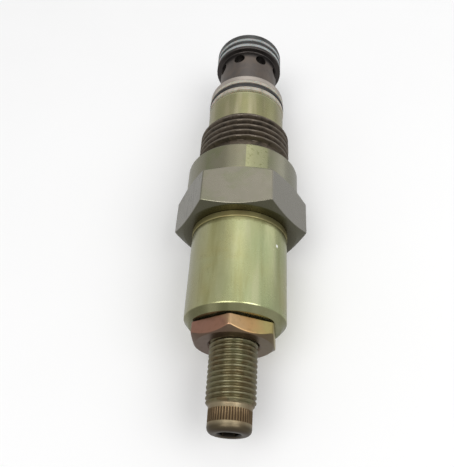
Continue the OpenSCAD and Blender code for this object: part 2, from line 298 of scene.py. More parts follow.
def lathe(name, outline, columns, rounding=0.15):
    """A turned piece with a bore, from a closed outline of (radius, station) points."""
    angles = even_angles(columns)
    rings = [
        [at(radius, station, a) for a in angles]
        for radius, station in eased(outline, rounding, True)
    ]
    return skin(name, rings)


def finish_surface(obj, sharp):
    """Smooth shading that keeps real corners and lets flat faces stay flat."""
    mesh = obj.data
    mesh.polygons.foreach_set("use_smooth", [True] * len(mesh.polygons))
    mesh.set_sharp_from_angle(angle=math.radians(sharp))
    modifier = obj.modifiers.new("weighted", "WEIGHTED_NORMAL")
    modifier.keep_sharp = True
    modifier.weight = 80


def cut_away(obj, cutters):
    """Takes the cutters' solids out of obj, in its mesh."""
    for cutter in cutters:
        modifier = obj.modifiers.new("cut", "BOOLEAN")
        modifier.operation = "DIFFERENCE"
        modifier.solver = "EXACT"
        modifier.object = cutter
    bpy.context.view_layer.update()
    graph = bpy.context.evaluated_depsgraph_get()
    mesh = bpy.data.meshes.new_from_object(obj.evaluated_get(graph))
    obj.modifiers.clear()
    obj.data = mesh
    for cutter in cutters:
        bpy.data.objects.remove(cutter, do_unlink=True)
    return obj


# ---------------------------------------------------------------- shapes that several pieces share


def hexagon_radius(angle, flat, rounding, turn=0.0):
    """Distance from the axis to a hexagon with rounded corners. A flat faces the angle turn."""
    u = math.radians((angle - turn + 30) % 60 - 30)
    from_corner = math.radians(30) - abs(u)
    inner = flat - rounding
    tangent = math.radians(30) - math.atan(inner * math.tan(math.radians(30)) / flat)
    if from_corner >= tangent:
        return flat / math.cos(u)
    centre = inner / math.cos(math.radians(30))
    side = centre * math.sin(from_corner)
    return centre * math.cos(from_corner) + math.sqrt(rounding**2 - side**2)


def hexagon_angles(flat, rounding, per_flat, per_corner, turn=0.0):
    """Angles round a hexagon, close together where its corners are rounded."""
    inner = flat - rounding
    half = math.degrees(math.atan(inner * math.tan(math.radians(30)) / flat))
    out = []
    for side in range(6):
        middle = turn + 60 * side
        out += [middle - half + 2 * half * i / per_flat for i in range(per_flat)]
        out += [
            middle + half + (60 - 2 * half) * i / per_corner for i in range(per_corner)
        ]
    return out


def thread_radius(station, angle, crest_r, depth, pitch, start):
    """Radius of a right-hand thread with flat crests and narrow flat roots.

    The middle of a crest is at the station start at angle 0.
    """
    phase = ((station - start) / pitch - angle / 360.0) % 1.0
    from_root = abs(phase - 0.5) * 2
    root_share, crest_share = 0.12, 0.80
    rise = (from_root - root_share) / (crest_share - root_share)
    return crest_r - depth * (1 - min(1.0, max(0.0, rise)))


def slit_ring(name, inner, outer, ends, slit_at, rounding=0.12, columns=150):
    """A flat ring with one slanted split, about 0.12 mm wide."""
    low, high = ends
    outline = eased([(inner, low), (outer, low), (outer, high), (inner, high)], rounding, True)
    middle = (low + high) / 2
    slant = 9.0  # degrees round the axis for each millimetre along it
    gap = 0.7  # degrees
    points, faces = [], []
    count = len(outline)
    for j in range(columns + 1):
        for radius, station in outline:
            angle = slit_at + slant * (station - middle) + gap / 2
            points.append(at(radius, station, angle + (360 - gap) * j / columns))
    for j in range(columns):
        for i in range(count):
            a, b = j * count + i, j * count + (i + 1) % count
            faces.append((a, b, b + count, a + count))
    faces.append(tuple(range(count)))
    faces.append(tuple(columns * count + i for i in range(count)))
    return mesh_object(name, points, faces)


def seal_ring(name, middle_r, section_r, station, flatten=0.93, columns=160, sides=28):
    """A rubber ring, pressed a little flat where its groove and its bore hold it."""
    rings = []
    for i in range(sides):
        a = math.tau * i / sides
        out = max(-flatten, min(flatten, math.cos(a))) / flatten
        radius = middle_r + section_r * (math.cos(a) if abs(out) < 1 else flatten * out)
        rings.append(
            [at(radius, station + section_r * math.sin(a), b) for b in even_angles(columns)]
        )
    return skin(name, rings)


def coil_spring(name, mean_r, wire_r, low, high, turns, part, sides=16, per_turn=40):
    """Part of a compression spring, from one turn number to another.

    Its end turns lie closed and are ground flat.
    """
    closed = (SPRING_END + SPRING_END_RISE) * wire_r
    pitch = (high - low - 2 * closed) / (turns - 2)
    rings = []
    for k in range(round(part[0] * per_turn), round(part[1] * per_turn) + 1):
        t = k / per_turn
        if t < 1:
            middle = low + wire_r * (SPRING_END + SPRING_END_RISE * t)
        elif t > turns - 1:
            middle = high - wire_r * (SPRING_END + SPRING_END_RISE * (turns - t))
        else:
            middle = low + closed + pitch * (t - 1)
        ring = []
        for i in range(sides):
            a = math.tau * i / sides
            station = min(high, max(low, middle + wire_r * math.sin(a)))
            ring.append(at(mean_r + wire_r * math.cos(a), station, 360 * t))
        rings.append(ring)
    centre_low = tuple(sum(p[i] for p in rings[0]) / sides for i in range(3))
    centre_high = tuple(sum(p[i] for p in rings[-1]) / sides for i in range(3))
    return skin(name, [[centre_low]] + rings + [[centre_high]], loop=False)


# ---------------------------------------------------------------- pieces


def build_hex_body():
    thread_step = 0.1
    thread_rows = spread(RELIEF_END, PILOT_START, thread_step)

    def outline_at(angle):
        flat = hexagon_radius(angle, HEX_FLAT, HEX_ROUNDING)
        before = eased(
            [
                (HOUSING_SOCKET_R, HEX_END + MOUTH_DEPTH),
                (MOUTH_R, HEX_END + MOUTH_DEPTH),
                (MOUTH_R, HEX_END),
                (HEX_FACE_R, HEX_END, 0.12),
                (flat, HEX_END + (flat - HEX_FACE_R) * HEX_SLOPE, 0.25),
                (flat, COLLAR_START - (flat - COLLAR_R) * HEX_SLOPE, 0.35),
                (COLLAR_R, COLLAR_START, 0.02),
                (COLLAR_R, -0.5, 0.25),
                (COLLAR_R - 0.5, 0, 0.25),
                (RELIEF_R, 0),
                (RELIEF_R, RELIEF_END),
            ],
            0.1,
            False,
        )
        thread = []
        for station in thread_rows:
            form = thread_radius(
                station, angle, THREAD_R, THREAD_DEPTH, THREAD_PITCH, THREAD_PHASE
            )
            run_in = RELIEF_R + (station - RELIEF_END) * RUN_IN_SLOPE
            run_out = THREAD_R - (station - THREAD_LAST) * RUN_OUT_SLOPE
            thread.append((min(form, run_in, run_out), station))
        after = eased(
            [
                (THREAD_R - 1.4, PILOT_START),
                (PILOT_R, PILOT_START + 0.25, 0.2),
                (PILOT_R, BODY_FRONT - 1.0, 0.25),
                (PILOT_R - 0.6, BODY_FRONT, 0.12),
                (CAGE_SOCKET_R, BODY_FRONT),
                (CAGE_SOCKET_R, SHOULDER),
                (RECESS_R, SHOULDER),
                (RECESS_R, RECESS_START),
                (CHAMBER_R, RECESS_START),
                (CHAMBER_R, HOUSING_SOCKET_END),
                (HOUSING_SOCKET_R, HOUSING_SOCKET_END),
            ],
            0.1,
            False,
        )
        return before + thread + after

    return loft("body_shell", outline_at, hexagon_angles(HEX_FLAT, HEX_ROUNDING, 26, 8))


def build_nose_cage():
    outline = eased(
        [
            (CAGE_BORE_R, CAGE_BACK),
            (CAGE_SOCKET_R - 1, CAGE_BACK),
            (CAGE_SOCKET_R - CLEARANCE, CAGE_BACK + 0.9),
            (CAGE_SOCKET_R - CLEARANCE, BODY_FRONT - 1.2),
            (CAGE_SOCKET_R - 0.6, BODY_FRONT - 0.6),
            (CAGE_SOCKET_R - 0.6, BODY_FRONT),
            (BODY_GROOVE_R, BODY_FRONT),
            (BODY_GROOVE_R, BODY_GROOVE_END),
            (PILOT_R, BODY_GROOVE_END, 0.12),
            (PILOT_R, CAGE_LAND_END, 0.3),
            (NECK_R, CAGE_BEVEL_END, 0.9),
        ],
        0.1,
        False,
        steps=4,
    )
    outline += [(NECK_R, s) for s in spread(CAGE_BEVEL_END + 0.9, FLANGE_START - 1.2, 0.5)]
    outline += eased(
        [
            (NECK_R, FLANGE_START - 0.9),
            (NECK_R, FLANGE_START, 0.3),
            (NOSE_R, FLANGE_START, 0.25),
            (NOSE_R, NOSE_GROOVE_START, 0.08),
            (NOSE_GROOVE_R, NOSE_GROOVE_START),
            (NOSE_GROOVE_R, NOSE_GROOVE_END),
            (NOSE_R, NOSE_GROOVE_END, 0.08),
            (NOSE_R, NOSE_END - 0.5, 0.25),
            (NOSE_R - 0.5, NOSE_END, 0.2),
            (INLET_R + 0.8, NOSE_END, 0.2),
            (INLET_R, NOSE_END - 0.8, 0.2),
            (INLET_R, SEAT_AT, 0.05),
            (CAGE_BORE_R, SEAT_AT, 0.05),
            (CAGE_BORE_R, SEAT_AT - 0.4),
        ],
        0.1,
        False,
        steps=4,
    )
    outline += [(CAGE_BORE_R, s) for s in spread(SEAT_AT - 0.4, PISTON_FLOOR - 2, 0.5)]
    columns = 192
    cage = skin(
        "cage_sleeve",
        [[at(r, s, a) for a in even_angles(columns)] for r, s in outline],
    )
    cutters = []
    for i in range(SIDE_HOLES):
        turn = SIDE_HOLE_TURN + i * 360 / SIDE_HOLES
        cutters.append(hole_cutter(f"hole_{i}", turn))
    return cut_away(cage, cutters)


def hole_cutter(name, turn):
    """A round bar that runs outwards through the cage wall at the side holes' station."""
    a = math.radians(turn)
    outwards = Vector((math.sin(a), 0, math.cos(a)))
    across = Vector((0, 1, 0))
    side = outwards.cross(across)
    centre = Vector((0, (SIDE_HOLE_AT - THREAD_MIDDLE) * MM, 0))
    inner = centre + outwards * (CAGE_BORE_R - 1.2) * MM
    outer = centre + outwards * (NOSE_R + 0.6) * MM
    columns = 48
    rings = [[tuple(inner)]]
    for end in (inner, outer):
        ring = []
        for i in range(columns):
            b = math.tau * i / columns
            offset = (across * math.cos(b) + side * math.sin(b)) * SIDE_HOLE_R * MM
            ring.append(tuple(end + offset))
        rings.append(ring)
    rings.append([tuple(outer)])
    return skin(name, rings, loop=False)


def build_spring_housing():
    washer_face = HEX_END - WASHER_T
    return lathe(
        "housing_shell",
        [
            (SPRING_BORE_R, HOUSING_SOCKET_END - 1),
            (SPRING_BORE_R, SPRING_BORE_END),
            (SCREW_R + CLEARANCE, SPRING_BORE_END),
            (SCREW_R + CLEARANCE, HOUSING_END + 0.5),
            (SCREW_R + 0.5, HOUSING_END),
            (HOUSING_R - HOUSING_CHAMFER * 0.88, HOUSING_END, 0.25),
            (HOUSING_R, HOUSING_END + HOUSING_CHAMFER, 0.3),
            (HOUSING_R, washer_face, 0.12),
            (HOUSING_SOCKET_R - 0.1, washer_face),
            (HOUSING_SOCKET_R - CLEARANCE, HOUSING_SOCKET_END - 1.6),
            (HOUSING_SOCKET_R - 0.6, HOUSING_SOCKET_END - 1),
        ],
        columns=192,
    )


def build_housing_washer():
    return lathe(
        "washer_ring",
        [
            (HOUSING_SOCKET_R, HEX_END),
            (HOUSING_SOCKET_R, HEX_END - WASHER_T),
            (WASHER_R - 0.25, HEX_END - WASHER_T, 0.1),
            (WASHER_R - 0.1, HEX_END - WASHER_T + 0.2, 0.1),
            (WASHER_R - 0.1, HEX_END - 0.12, 0.1),
            (WASHER_R - 0.2, HEX_END, 0.1),
        ],
        columns=192,
    )


def build_jam_nut():
    turn = NUT_TURN + 30
    face_r = NUT_FLAT - 0.4
    slope = 1.25 * math.tan(math.radians(30))
    bore = SCREW_R + CLEARANCE
    outer_face = NUT_FACE - NUT_T

    def outline_at(angle):
        flat = hexagon_radius(angle, NUT_FLAT, NUT_ROUNDING, turn)
        rise = max(0.0, flat - face_r) * slope
        return eased(
            [
                (bore, outer_face + 0.5),
                (bore + 0.6, outer_face),
                (face_r, outer_face, 0.1),
                (flat, outer_face + rise, 0.2),
                (flat, NUT_FACE - 0.1, 0.08),
                (flat - 0.15, NUT_FACE, 0.08),
                (bore + 0.6, NUT_FACE),
                (bore, NUT_FACE - 0.5),
            ],
            0.08,
            True,
        )

    return loft("nut_shell", outline_at, hexagon_angles(NUT_FLAT, NUT_ROUNDING, 22, 8, turn))


def build_adjusting_screw():
    fine = even_angles(KNURL_TEETH * len(KNURL_TOOTH))
    coarse = fine[::2]
    corner = SOCKET_FLAT / math.cos(math.radians(30))

    def circle(radius, station, angles=coarse):
        return [at(radius, station, a) for a in angles]

    def socket(radius_of, station_of):
        return [at(radius_of(a), station_of(a), a) for a in coarse]

    def wall(a):
        return hexagon_radius(a, SOCKET_FLAT, SOCKET_ROUNDING, SOCKET_TURN)

    mouth_r = corner + 0.25
    floor = SCREW_TIP + SOCKET_DEPTH
    rings = [[at(0, floor + 0.9, 0)]]
    rings.append(socket(lambda a: wall(a) * 0.9, lambda a: floor + 0.1))
    rings.append(socket(wall, lambda a: floor))
    rings.append(socket(wall, lambda a: SCREW_TIP + (mouth_r - wall(a)) * 0.6 + 0.06))
    rings.append(circle(mouth_r, SCREW_TIP + 0.02))
    rings.append(circle(mouth_r + 0.08, SCREW_TIP))
    arc_steps = 8
    for i in range(arc_steps + 1):
        a = math.radians(90 * i / arc_steps)
        radius = SCREW_END_R - SCREW_END_ROUNDING * (1 - math.sin(a))
        rings.append(circle(radius, SCREW_TIP + SCREW_END_ROUNDING * (1 - math.cos(a))))
    rings.append(circle(SCREW_END_R, KNURL_LOW - 0.05))
    rings.append(circle(SCREW_END_R, KNURL_LOW, fine))
    knurled = [SCREW_END_R - depth for depth in KNURL_TOOTH * KNURL_TEETH]
    for station in (KNURL_LOW + 0.2, KNURL_HIGH - 0.2):
        rings.append([at(radius, station, a) for radius, a in zip(knurled, fine)])
    rings.append(circle(SCREW_END_R, KNURL_HIGH, fine))
    lead_start = SCREW_LEAD - 0.45
    lead_r = SCREW_R - 0.35
    for radius, station in eased(
        [
            (SCREW_END_R, KNURL_HIGH + 0.05),
            (SCREW_END_R, SCREW_LEAD - 0.8),
            (lead_r, lead_start, 0.2),
        ],
        0.15,
        False,
    ):
        rings.append(circle(radius, station))
    thread_step = SCREW_PITCH / 14
    for station in spread(lead_start, SCREW_THREAD_END + 0.3, thread_step):
        ring = []
        for a in coarse:
            form = thread_radius(station, a, SCREW_R, SCREW_DEPTH, SCREW_PITCH, SCREW_LEAD)
            lead = lead_r + (station - lead_start) * 0.8
            run_out = SCREW_R - (station - SCREW_THREAD_END) * 2.0
            ring.append(at(min(form, lead, run_out), station, a))
        rings.append(ring)
    for radius, station in eased(
        [
            (SCREW_R - 0.7, STOP_GROOVE[0] - 0.6),
            (SCREW_R - 0.1, STOP_GROOVE[0] - 0.4),
            (SCREW_R - 0.1, STOP_GROOVE[0]),
            (SCREW_R - 1.1, STOP_GROOVE[0]),
            (SCREW_R - 1.1, STOP_GROOVE[1]),
            (SCREW_R - 0.1, STOP_GROOVE[1]),
            (SCREW_R - 0.5, SCREW_INNER - 0.2),
            (2.4, SCREW_INNER),
        ],
        0.08,
        False,
    ):
        rings.append(circle(radius, station))
    rings.append([at(0, SCREW_INNER, 0)])
    return skin("screw_shank", rings, loop=False)


def build_main_piston():
    cone_top = SEAT_AT - 0.05 - (PISTON_R - INLET_R)
    outline = [
        (PLUG_R, PISTON_FLOOR),
        (PISTON_INNER_R, PISTON_FLOOR, 0.4),
        (PISTON_INNER_R, PISTON_BACK + 0.4),
        (PISTON_INNER_R + 0.4, PISTON_BACK),
        (PISTON_R - 0.4, PISTON_BACK),
        (PISTON_R, PISTON_BACK + 0.4),
    ]
    for low in PISTON_GROOVES:
        outline += [
            (PISTON_R, low),
            (PISTON_R - PISTON_GROOVE_DEPTH, low),
            (PISTON_R - PISTON_GROOVE_DEPTH, low + PISTON_GROOVE_WIDTH),
            (PISTON_R, low + PISTON_GROOVE_WIDTH),
        ]
    outline += [
        (PISTON_R, cone_top, 0.1),
        (INLET_R - 0.8, SEAT_AT + 0.75, 0.2),
        (PLUG_R, SEAT_AT + 0.75),
    ]
    return lathe("piston_cup", outline, columns=120, rounding=0.08)


def build_orifice_plug():
    """A disc with a small hole and a screwdriver slot across its outer face."""
    outer_face = SEAT_AT - 0.5
    hole_r = 0.5
    plug = lathe(
        "plug_disc",
        [
            (hole_r, PISTON_FLOOR + 0.5),
            (PLUG_R - 0.02, PISTON_FLOOR + 0.5),
            (PLUG_R - 0.02, outer_face),
            (hole_r + 0.4, outer_face),
            (hole_r, outer_face - 0.4),
        ],
        columns=72,
        rounding=0.06,
    )
    x, z = (half * MM for half in PLUG_SLOT_HALVES)
    floor, above = (
        (station - THREAD_MIDDLE) * MM for station in (outer_face - PLUG_SLOT_DEPTH, SEAT_AT)
    )
    rings = [[(0, floor, 0)]]
    for y in (floor, above):
        rings.append([(-x, y, -z), (x, y, -z), (x, y, z), (-x, y, z)])
    rings.append([(0, above, 0)])
    return cut_away(plug, [skin("plug_slot", rings, loop=False)])


# ---------------------------------------------------------------- materials


class Finish:
    """A small builder for one procedural material in object coordinates."""

    def __init__(self, name):
        self.material = bpy.data.materials.new(name)
        self.material.use_nodes = True
        self.tree = self.material.node_tree
        self.tree.nodes.clear()
        output = self.tree.nodes.new("ShaderNodeOutputMaterial")
        self.shader = self.tree.nodes.new("ShaderNodeBsdfPrincipled")
        self.tree.links.new(self.shader.outputs[0], output.inputs["Surface"])
        coordinates = self.tree.nodes.new("ShaderNodeTexCoord")
        self.place = coordinates.outputs["Object"]
        facing = self.tree.nodes.new("ShaderNodeSeparateXYZ")
        self.tree.links.new(coordinates.outputs["Normal"], facing.inputs[0])
        self.backward = self.value("MULTIPLY", facing.outputs[1], -1.0)
        split = self.tree.nodes.new("ShaderNodeSeparateXYZ")
        self.tree.links.new(self.place, split.inputs[0])
        x, y, z = split.outputs
        self.x, self.z = x, z
        self.station = self.value("MULTIPLY_ADD", y, 1 / MM, THREAD_MIDDLE)
        square = self.value("ADD", self.value("MULTIPLY", x, x), self.value("MULTIPLY", z, z))
        self.radius = self.value("MULTIPLY", self.value("SQRT", square), 1 / MM)

    def feed(self, socket, source):
        if isinstance(source, bpy.types.NodeSocket):
            self.tree.links.new(source, socket)
        elif isinstance(source, (tuple, list)) and len(source) == 3 and socket.type == "RGBA":
            socket.default_value = (*source, 1)
        else:
            socket.default_value = source

    def value(self, operation, *sources):
        node = self.tree.nodes.new("ShaderNodeMath")
        node.operation = operation
        for socket, source in zip(node.inputs, sources):
            self.feed(socket, source)
        return node.outputs[0]

    def noise(self, scale, detail, rough, stretch=(1, 1, 1), warp=0.0):
        """Smooth noise from 0 to 1. The scale is in features per millimetre."""
        mapping = self.tree.nodes.new("ShaderNodeMapping")
        mapping.inputs["Scale"].default_value = stretch
        self.feed(mapping.inputs["Vector"], self.place)
        node = self.tree.nodes.new("ShaderNodeTexNoise")
        self.feed(node.inputs["Vector"], mapping.outputs[0])
        node.inputs["Scale"].default_value = scale / MM
        node.inputs["Detail"].default_value = detail
        node.inputs["Roughness"].default_value = rough
        node.inputs["Distortion"].default_value = warp
        return node.outputs["Fac"]

    def ramp(self, source, stops):
        """A colour that runs through (position, colour) stops as the source rises."""
        node = self.tree.nodes.new("ShaderNodeValToRGB")
        elements = node.color_ramp.elements
        while len(elements) < len(stops):
            elements.new(0.5)
        for element, (position, colour) in zip(elements, stops):
            element.position = position
            element.color = (*colour, 1)
        self.feed(node.inputs[0], source)
        return node.outputs["Color"]

    def fade(self, source, low, high, to_low=0.0, to_high=1.0):
        """Maps low..high to to_low..to_high with soft ends, clamped."""
        node = self.tree.nodes.new("ShaderNodeMapRange")
        node.interpolation_type = "SMOOTHSTEP"
        self.feed(node.inputs["Value"], source)
        node.inputs["From Min"].default_value = low
        node.inputs["From Max"].default_value = high
        node.inputs["To Min"].default_value = to_low
        node.inputs["To Max"].default_value = to_high
        return node.outputs[0]

    def band(self, source, low, high, soft):
        """1 between low and high, 0 outside, with soft edges."""
        rise = self.fade(source, low - soft, low + soft)
        fall = self.fade(source, high - soft, high + soft, 1.0, 0.0)
        return self.value("MULTIPLY", rise, fall)

    def mix(self, share, first, second):
        node = self.tree.nodes.new("ShaderNodeMix")
        node.data_type = "RGBA"
        self.feed(node.inputs[0], share)
        self.feed(node.inputs[6], first)
        self.feed(node.inputs[7], second)
        return node.outputs[2]

    def lay(self, under, top, mask, strength):
        """The colour top over the colour under, as strongly as mask times strength."""
        return self.mix(self.value("MULTIPLY", mask, strength), under, top)

    def bump(self, layers):
        """Adds (height, strength, distance in mm) layers of relief."""
        normal = None
        for height, strength, distance in layers:
            node = self.tree.nodes.new("ShaderNodeBump")
            node.inputs["Strength"].default_value = strength
            node.inputs["Distance"].default_value = distance * MM
            self.feed(node.inputs["Height"], height)
            if normal is not None:
                self.feed(node.inputs["Normal"], normal)
            normal = node.outputs[0]
        self.feed(self.shader.inputs["Normal"], normal)

    def set(self, **inputs):
        names = {
            "colour": "Base Color",
            "metal": "Metallic",
            "rough": "Roughness",
            "coat": "Coat Weight",
            "coat_rough": "Coat Roughness",
            "specular": "Specular IOR Level",
            "through": "Subsurface Weight",
            "through_depth": "Subsurface Scale",
        }
        for key, source in inputs.items():
            self.feed(self.shader.inputs[names[key]], source)
        return self.material


def shade(red, green, blue):
    """Linear colour from the 0..255 numbers of a display colour."""
    out = []
    for v in (red, green, blue):
        v /= 255
        out.append(v / 12.92 if v <= 0.04045 else ((v + 0.055) / 1.055) ** 2.4)
    return tuple(out)


def turning_marks(finish, per_mm):
    """Fine rings left by the lathe tool, as height."""
    return finish.noise(per_mm, 2.0, 0.6, stretch=(0.004, 1, 0.004))


def plated_steel(name, tint, warm, cool, dirt=0.25, rough=0.27):
    """Olive-yellow passivated zinc: cloudy tints, handling stains, tiny pits and lathe rings."""
    f = Finish(name)
    clouds = f.noise(0.11, 4, 0.55, warp=0.6)
    drift = f.noise(0.035, 2, 0.5)
    colour = f.mix(f.fade(clouds, 0.38, 0.68), tint, warm)
    colour = f.mix(f.fade(drift, 0.42, 0.70), colour, cool)
    stains = f.fade(f.noise(0.5, 5, 0.65, warp=1.2), 0.58, 0.75)
    colour = f.lay(colour, shade(96, 92, 64), stains, dirt)
    pits = f.fade(f.noise(2.6, 2, 0.5), 0.70, 0.80)
    colour = f.lay(colour, shade(70, 62, 44), pits, 0.5)
    gloss = f.value("MULTIPLY_ADD", f.noise(0.35, 4, 0.6), 0.22, rough - 0.10)
    f.bump([(turning_marks(f, 9), 0.16, 0.02), (f.noise(3.0, 3, 0.6), 0.10, 0.02)])
    return f, colour, gloss


def hexagon_tone(f, cloud):
    """Grey faces, with painted reflection making the side faces paler, and scratches on the one
    towards -X.
    """
    flats = f.mix(f.fade(cloud, 0.4, 0.65), shade(148, 143, 128), shade(141, 140, 118))
    # painted reflection: the side faces made paler
    aside = f.fade(f.value("ABSOLUTE", f.x), 9.0 * MM, 9.6 * MM)
    flats = f.lay(flats, shade(172, 169, 160), aside, 0.85)
    scratches = f.fade(f.noise(0.9, 1.0, 0.4, stretch=(0.5, 0.22, 1.6), warp=0.3), 0.63, 0.68)
    on_left = f.fade(f.x, -9.5 * MM, -9.0 * MM, 0.55, 0.0)
    return f.lay(flats, shade(112, 110, 102), scratches, on_left)


def collar_tone(f, cloud):
    """A grey band with a speckled yellow patch towards +X, and painted reflection making it paler at
    the sides.
    """
    collar = f.mix(f.fade(cloud, 0.4, 0.65), shade(142, 138, 120), shade(132, 134, 108))
    specks = f.fade(f.noise(1.1, 4, 0.7), 0.52, 0.72)
    patch = f.mix(specks, shade(172, 172, 134), shade(132, 134, 92))
    left_edge = f.fade(f.x, 1.92 * MM, 2.0 * MM)
    right_edge = f.fade(f.x, 7.2 * MM, 8.6 * MM, 1.0, 0.0)
    collar = f.lay(collar, patch, left_edge, right_edge)
    collar = f.mix(f.fade(f.x, 8 * MM, 11 * MM), collar, shade(134, 130, 114))
    # painted reflection: paler towards both sides of the collar
    rounded = f.fade(f.value("ABSOLUTE", f.x), 8.5 * MM, 13 * MM)
    return f.lay(collar, shade(168, 165, 150), rounded, 0.8)


def shaded_back_face_tone(f):
    """Painted shade on the hexagon's outer face, which is turned away from the light, darkest beside
    the washer.
    """
    inward = f.fade(f.radius, HOUSING_R, HEX_FACE_R + 1)
    return f.mix(inward, shade(70, 66, 42), shade(104, 102, 84))


def thread_tone(f, oil):
    """Brown oil film in the mounting thread, rubbed paler on the crests, with a painted highlight
    there too.
    """
    brown = f.mix(f.fade(oil, 0.35, 0.7), shade(108, 97, 84), shade(72, 66, 58))
    # the crests' paler colour is wear and a painted highlight together
    crest = f.fade(f.radius, THREAD_R - 0.35, THREAD_R - 0.02)
    return f.lay(brown, shade(138, 128, 116), crest, 0.55)


def body_finish():
    """Each stretch of the hexagon body has its own tone over the plating."""
    f, colour, gloss = plated_steel(
        "plated_body", shade(190, 188, 138), shade(196, 184, 122), shade(172, 182, 140)
    )
    station = f.station
    cloud = f.noise(0.16, 4, 0.6, warp=0.5)
    on_flats = f.band(station, HEX_END - 0.5, COLLAR_START + 0.1, 0.25)
    colour = f.mix(on_flats, colour, hexagon_tone(f, cloud))
    on_collar = f.band(station, COLLAR_START + 0.1, 0.1, 0.25)
    colour = f.lay(colour, collar_tone(f, cloud), on_collar, 0.9)
    on_pilot = f.fade(station, PILOT_START, PILOT_START + 0.3)
    bands = f.noise(0.3, 2, 0.5, stretch=(1, 0.1, 0.6))
    dull = f.mix(f.fade(bands, 0.40, 0.62), shade(152, 150, 112), shade(184, 176, 146))
    colour = f.lay(colour, dull, on_pilot, 0.75)
    # painted highlight along the pilot's front edge
    pilot_edge_highlight = f.fade(station, BODY_FRONT - 1.5, BODY_FRONT - 1.0)
    colour = f.lay(colour, shade(214, 212, 172), pilot_edge_highlight, 0.8)
    # painted shade on the faces turned towards -Y, away from the light, at the hexagon's outer end
    face = f.value("MULTIPLY", f.fade(f.backward, 0.45, 0.85), f.fade(station, -15, -14, 1.0, 0.0))
    colour = f.lay(colour, shaded_back_face_tone(f), face, 0.95)
    in_thread = f.band(station, 0.15, PILOT_START + 0.15, 0.15)
    oil = f.noise(0.45, 4, 0.6, warp=0.8)
    colour = f.mix(in_thread, colour, thread_tone(f, oil))
    rough = f.mix(in_thread, gloss, f.value("MULTIPLY_ADD", oil, 0.25, 0.28))
    return f.set(colour=colour, metal=0.95, rough=rough, coat=0.12, coat_rough=0.2)


def housing_finish():
    f, olive, gloss = plated_steel(
        "plated_housing", shade(194, 194, 144), shade(192, 188, 134), shade(180, 190, 142), 0.2, 0.24
    )
    streaks = f.noise(0.38, 3, 0.55, stretch=(1, 0.12, 1), warp=0.3)
    olive = f.mix(f.fade(streaks, 0.45, 0.70, 0.0, 0.55), olive, shade(206, 206, 164))
    olive = f.mix(f.fade(streaks, 0.30, 0.46, 0.5, 0.0), olive, shade(168, 164, 108))
    # painted reflection: paler grey towards -X
    olive = f.mix(f.fade(f.x, -12 * MM, -6 * MM, 0.55, 0.0), olive, shade(186, 182, 160))
    # painted shade on the end chamfer turned towards -Y, crossed by pale painted reflection streaks
    chamfer_shade_mask = f.fade(f.backward, 0.25, 0.6)
    reflection_streaks = f.fade(f.noise(0.16, 2, 0.5, stretch=(1, 0.1, 0.3)), 0.36, 0.66)
    chamfer_shade_and_reflection = f.mix(reflection_streaks, shade(104, 102, 70), shade(158, 156, 118))
    colour = f.lay(olive, chamfer_shade_and_reflection, chamfer_shade_mask, 0.8)
    # painted shade where the housing meets the washer, with a ragged edge
    ragged = f.value("MULTIPLY_ADD", f.noise(0.9, 4, 0.6, warp=0.8), 1.6, f.station)
    root_shade = f.fade(ragged, HEX_END - WASHER_T - 0.6, HEX_END - WASHER_T + 0.2)
    colour = f.lay(colour, shade(134, 126, 78), root_shade, 0.6)
    # painted glint: a small near-white, barely metallic spot standing in for a highlight
    glint_across = f.band(f.x, 10.2 * MM, 10.6 * MM, 0.14 * MM)
    painted_glint = f.value("MULTIPLY", glint_across, f.band(f.station, -28.4, -27.7, 0.3))
    painted_glint = f.value("MULTIPLY", painted_glint, f.fade(f.z, 0.0, 1 * MM))
    near_white = (0.98, 0.98, 0.95)
    colour = f.mix(painted_glint, colour, near_white)
    metal = f.value("MULTIPLY_ADD", painted_glint, -0.9, 0.95)
    return f.set(colour=colour, metal=metal, rough=gloss, coat=0.12, coat_rough=0.2)


def washer_finish():
    f, olive, gloss = plated_steel(
        "dull_washer", shade(164, 156, 108), shade(128, 108, 70), shade(150, 146, 104), 0.8, 0.40
    )
    return f.set(colour=olive, metal=0.9, rough=gloss)


def nut_finish():
    """Rainbow yellow zinc: pink-brown, gold and olive films drifting into each other."""
    f = Finish("rainbow_nut")
    across = f.value("MULTIPLY_ADD", f.x, 0.045 / MM, 0.5)
    film = f.value("MULTIPLY_ADD", f.noise(0.16, 4, 0.6, warp=1.0), 0.35, -0.17)
    film = f.value("ADD", film, across)
    colour = f.ramp(
        film,
        [
            (0.15, shade(168, 126, 108)),
            (0.44, shade(172, 128, 106)),
            (0.54, shade(196, 164, 124)),
            (0.70, shade(192, 154, 106)),
            (0.90, shade(180, 166, 110)),
        ],
    )
    grime = f.fade(f.noise(0.7, 4, 0.6), 0.5, 0.75)
    colour = f.lay(colour, shade(110, 84, 62), grime, 0.3)
    # painted shade on the nut's end face, turned towards -Y away from the light
    face = f.fade(f.backward, 0.45, 0.85)
    colour = f.lay(colour, shade(108, 94, 80), face, 0.85)
    gloss = f.value("MULTIPLY_ADD", f.noise(0.5, 4, 0.6), 0.22, 0.22)
    f.bump([(f.noise(1.4, 4, 0.6), 0.12, 0.04), (f.noise(7, 2, 0.5), 0.08, 0.01)])
    return f.set(colour=colour, metal=0.95, rough=gloss)


